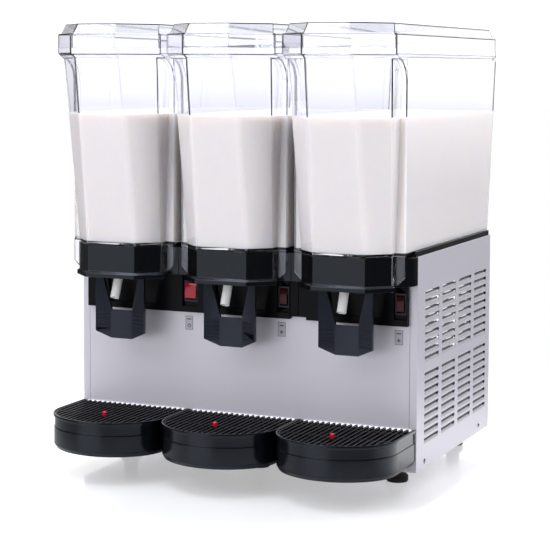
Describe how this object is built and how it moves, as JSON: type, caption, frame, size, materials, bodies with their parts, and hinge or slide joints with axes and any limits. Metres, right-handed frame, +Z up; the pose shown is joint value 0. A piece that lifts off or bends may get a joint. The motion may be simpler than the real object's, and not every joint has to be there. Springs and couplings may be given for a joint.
{
  "type": "cold drink dispenser",
  "caption": "Counter-top cold drink dispenser: clear bowls with lids on a louvred steel cabinet, push-lever taps, rocker switches and black drip trays.",
  "frame": {"origin": "on the floor, under the middle of the object's box", "axes": "+Z up, the taps and trays face -Y, +X to the right seen from the front"},
  "size_m": [0.5744, 0.586, 0.702],
  "materials": {
    "steel": "fine brushed stainless sheet",
    "dome_steel": "polished stainless",
    "clear": "clear polycarbonate",
    "black_gloss": "glossy moulded black",
    "black_satin": "satin moulded black",
    "white_plastic": "satin white",
    "switch_red": "translucent red",
    "float_red": "moulded red",
    "rubber_black": "black rubber",
    "rubber_grey": "grey seal rubber",
    "machine_black": "black enamel",
    "fins": "mill finish"
  },
  "bodies": {
    "cabinet": {"base_pan": "steel", "front_panel": "steel", "left_side_panel": "steel", "right_side_panel": "steel", "rear_panel": "steel", "top_deck": "steel", "panel_screws": "steel", "lever_pins": "steel", "switch_plate_double": "black_satin", "switch_plate_single": "black_satin", "switch_bodies": "black_satin", "cable_gland": "black_satin", "bowl_seals": "rubber_grey", "feet": "rubber_black", "agitator_motors": "machine_black", "compressor": "machine_black", "fan_frame": "machine_black", "condenser": "fins", "basin_left": "black_gloss", "basin_middle": "black_gloss", "basin_right": "black_gloss", "cold_dome_left": "dome_steel", "cold_dome_middle": "dome_steel", "cold_dome_right": "dome_steel"},
    "fan": {"fan": "white_plastic"},
    "bowl_left": {"bowl_left": "clear", "tap_left": "white_plastic"},
    "lid_left": {"lid_left": "clear"},
    "plunger_left": {"plunger_left": "white_plastic"},
    "lever_left": {"lever_left": "black_gloss"},
    "rocker_left": {"rocker_left": "switch_red"},
    "tray_left": {"tray_left": "black_gloss"},
    "grille_left": {"grille_left": "black_satin"},
    "float_left": {"float_left": "float_red"},
    "agitator_left": {"agitator_left": "white_plastic"},
    "bowl_middle": {"bowl_middle": "clear", "tap_middle": "white_plastic"},
    "lid_middle": {"lid_middle": "clear"},
    "plunger_middle": {"plunger_middle": "white_plastic"},
    "lever_middle": {"lever_middle": "black_gloss"},
    "rocker_middle": {"rocker_middle": "switch_red"},
    "tray_middle": {"tray_middle": "black_gloss"},
    "grille_middle": {"grille_middle": "black_satin"},
    "float_middle": {"float_middle": "float_red"},
    "agitator_middle": {"agitator_middle": "white_plastic"},
    "bowl_right": {"bowl_right": "clear", "tap_right": "white_plastic"},
    "lid_right": {"lid_right": "clear"},
    "plunger_right": {"plunger_right": "white_plastic"},
    "lever_right": {"lever_right": "black_gloss"},
    "rocker_right": {"rocker_right": "switch_red"},
    "tray_right": {"tray_right": "black_gloss"},
    "grille_right": {"grille_right": "black_satin"},
    "float_right": {"float_right": "float_red"},
    "agitator_right": {"agitator_right": "white_plastic"}
  },
  "joints": [
    {"name": "fan_spin", "type": "hinge", "parent": "cabinet", "child": "fan", "pos_m": [-0.221, 0.057, 0.122], "axis": [1, 0, 0], "continuous": true},
    {"name": "bowl_lift_left", "type": "slide", "parent": "cabinet", "child": "bowl_left", "axis": [0, 0, 1], "range_m": [0, 0.16]},
    {"name": "lid_lift_left", "type": "slide", "parent": "bowl_left", "child": "lid_left", "axis": [0, 0, 1], "range_m": [0, 0.06]},
    {"name": "lever_push_left", "type": "hinge", "parent": "cabinet", "child": "lever_left", "pos_m": [-0.19, -0.202, 0.3295], "axis": [1, 0, 0], "range_deg": [0, 14], "stiffness_Nm_per_rad": 1.2, "springref_deg": -6.88},
    {"name": "plunger_rise_left", "type": "slide", "parent": "bowl_left", "child": "plunger_left", "axis": [0, 0, 1], "range_m": [0, 0.005]},
    {"name": "rocker_tip_left", "type": "hinge", "parent": "cabinet", "child": "rocker_left", "pos_m": [-0.089, -0.133, 0.2845], "axis": [1, 0, 0], "range_deg": [0, 16]},
    {"name": "tray_pull_left", "type": "slide", "parent": "cabinet", "child": "tray_left", "axis": [0, -1, 0], "range_m": [0, 0.06]},
    {"name": "grille_lift_left", "type": "slide", "parent": "tray_left", "child": "grille_left", "axis": [0, 0, 1], "range_m": [0, 0.05]},
    {"name": "float_rise_left", "type": "slide", "parent": "tray_left", "child": "float_left", "axis": [0, 0, 1], "range_m": [0, 0.01]},
    {"name": "agitator_spin_left", "type": "hinge", "parent": "cabinet", "child": "agitator_left", "pos_m": [-0.19, 0.057, 0.474], "axis": [0, 0, 1], "continuous": true},
    {"name": "bowl_lift_middle", "type": "slide", "parent": "cabinet", "child": "bowl_middle", "axis": [0, 0, 1], "range_m": [0, 0.16]},
    {"name": "lid_lift_middle", "type": "slide", "parent": "bowl_middle", "child": "lid_middle", "axis": [0, 0, 1], "range_m": [0, 0.06]},
    {"name": "lever_push_middle", "type": "hinge", "parent": "cabinet", "child": "lever_middle", "pos_m": [0, -0.202, 0.3295], "axis": [1, 0, 0], "range_deg": [0, 14], "stiffness_Nm_per_rad": 1.2, "springref_deg": -6.88},
    {"name": "plunger_rise_middle", "type": "slide", "parent": "bowl_middle", "child": "plunger_middle", "axis": [0, 0, 1], "range_m": [0, 0.005]},
    {"name": "rocker_tip_middle", "type": "hinge", "parent": "cabinet", "child": "rocker_middle", "pos_m": [0.07, -0.133, 0.2845], "axis": [1, 0, 0], "range_deg": [0, 16]},
    {"name": "tray_pull_middle", "type": "slide", "parent": "cabinet", "child": "tray_middle", "axis": [0, -1, 0], "range_m": [0, 0.06]},
    {"name": "grille_lift_middle", "type": "slide", "parent": "tray_middle", "child": "grille_middle", "axis": [0, 0, 1], "range_m": [0, 0.05]},
    {"name": "float_rise_middle", "type": "slide", "parent": "tray_middle", "child": "float_middle", "axis": [0, 0, 1], "range_m": [0, 0.01]},
    {"name": "agitator_spin_middle", "type": "hinge", "parent": "cabinet", "child": "agitator_middle", "pos_m": [0, 0.057, 0.474], "axis": [0, 0, 1], "continuous": true},
    {"name": "bowl_lift_right", "type": "slide", "parent": "cabinet", "child": "bowl_right", "axis": [0, 0, 1], "range_m": [0, 0.16]},
    {"name": "lid_lift_right", "type": "slide", "parent": "bowl_right", "child": "lid_right", "axis": [0, 0, 1], "range_m": [0, 0.06]},
    {"name": "lever_push_right", "type": "hinge", "parent": "cabinet", "child": "lever_right", "pos_m": [0.19, -0.202, 0.3295], "axis": [1, 0, 0], "range_deg": [0, 14], "stiffness_Nm_per_rad": 1.2, "springref_deg": -6.88},
    {"name": "plunger_rise_right", "type": "slide", "parent": "bowl_right", "child": "plunger_right", "axis": [0, 0, 1], "range_m": [0, 0.005]},
    {"name": "rocker_tip_right", "type": "hinge", "parent": "cabinet", "child": "rocker_right", "pos_m": [0.26, -0.133, 0.2845], "axis": [1, 0, 0], "range_deg": [0, 16]},
    {"name": "tray_pull_right", "type": "slide", "parent": "cabinet", "child": "tray_right", "axis": [0, -1, 0], "range_m": [0, 0.06]},
    {"name": "grille_lift_right", "type": "slide", "parent": "tray_right", "child": "grille_right", "axis": [0, 0, 1], "range_m": [0, 0.05]},
    {"name": "float_rise_right", "type": "slide", "parent": "tray_right", "child": "float_right", "axis": [0, 0, 1], "range_m": [0, 0.01]},
    {"name": "agitator_spin_right", "type": "hinge", "parent": "cabinet", "child": "agitator_right", "pos_m": [0.19, 0.057, 0.474], "axis": [0, 0, 1], "continuous": true}
  ],
  "couplings": [
    {"joint": "plunger_rise_left", "follows": "lever_push_left", "m_per_rad": 0.019317},
    {"joint": "plunger_rise_middle", "follows": "lever_push_middle", "m_per_rad": 0.019317},
    {"joint": "plunger_rise_right", "follows": "lever_push_right", "m_per_rad": 0.019317}
  ]
}
